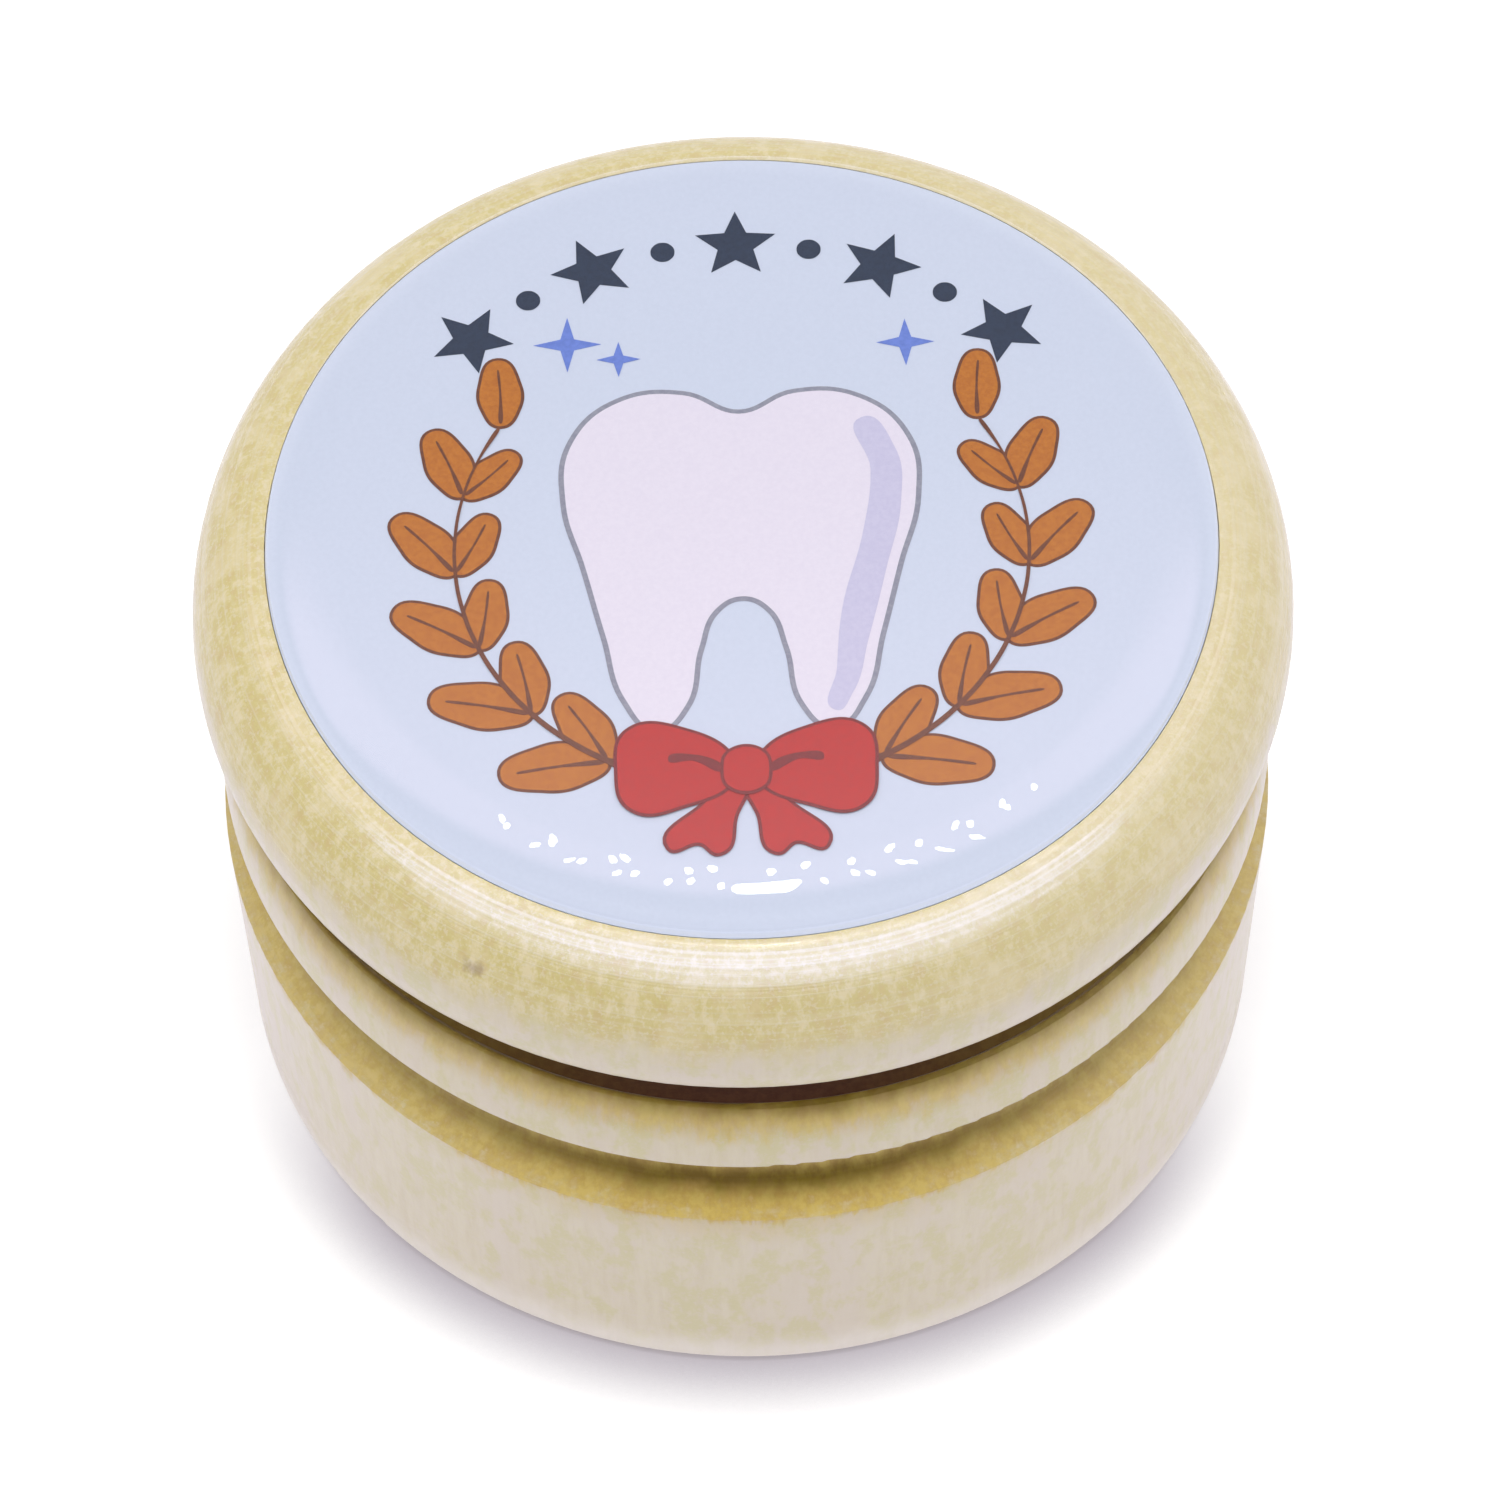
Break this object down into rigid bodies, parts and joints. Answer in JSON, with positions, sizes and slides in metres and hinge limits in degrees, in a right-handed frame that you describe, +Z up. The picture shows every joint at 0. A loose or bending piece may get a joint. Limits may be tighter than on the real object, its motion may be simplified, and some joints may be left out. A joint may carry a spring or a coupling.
{
  "type": "screw lid box",
  "caption": "Small round turned wooden box for milk teeth: hollow base with a screw neck, rounded screw lid, clear domed label on top.",
  "frame": {"origin": "centre of the base's underside, where it stands", "axes": "+Z up along the turning axis; the label's picture reads upright seen from -Y"},
  "size_m": [0.045, 0.045, 0.0308],
  "materials": {
    "base_wood": "clear lacquered pale wood, satin",
    "lid_wood": "clear lacquered pale wood, satin, turning marks on the rim",
    "adhesive": "white double-sided sheet",
    "print": "pale blue printed disc",
    "clear_resin": "clear cast resin, polished"
  },
  "bodies": {
    "base": {"base": "base_wood"},
    "lid_riser": {"label_adhesive": "adhesive"},
    "lid": {"lid": "lid_wood", "label_print": "print", "label_dome": "clear_resin"}
  },
  "joints": [
    {"name": "lid_rise", "type": "slide", "parent": "base", "child": "lid_riser", "axis": [0, 0, 1], "range_m": [0, 0.03005]},
    {"name": "lid_unscrew", "type": "hinge", "parent": "lid_riser", "child": "lid", "pos_m": [0, 0, 0.0224], "axis": [0, 0, 1], "range_deg": [0, 3600]}
  ],
  "couplings": [
    {"joint": "lid_rise", "follows": "lid_unscrew", "m_per_rad": 0.00047746}
  ]
}
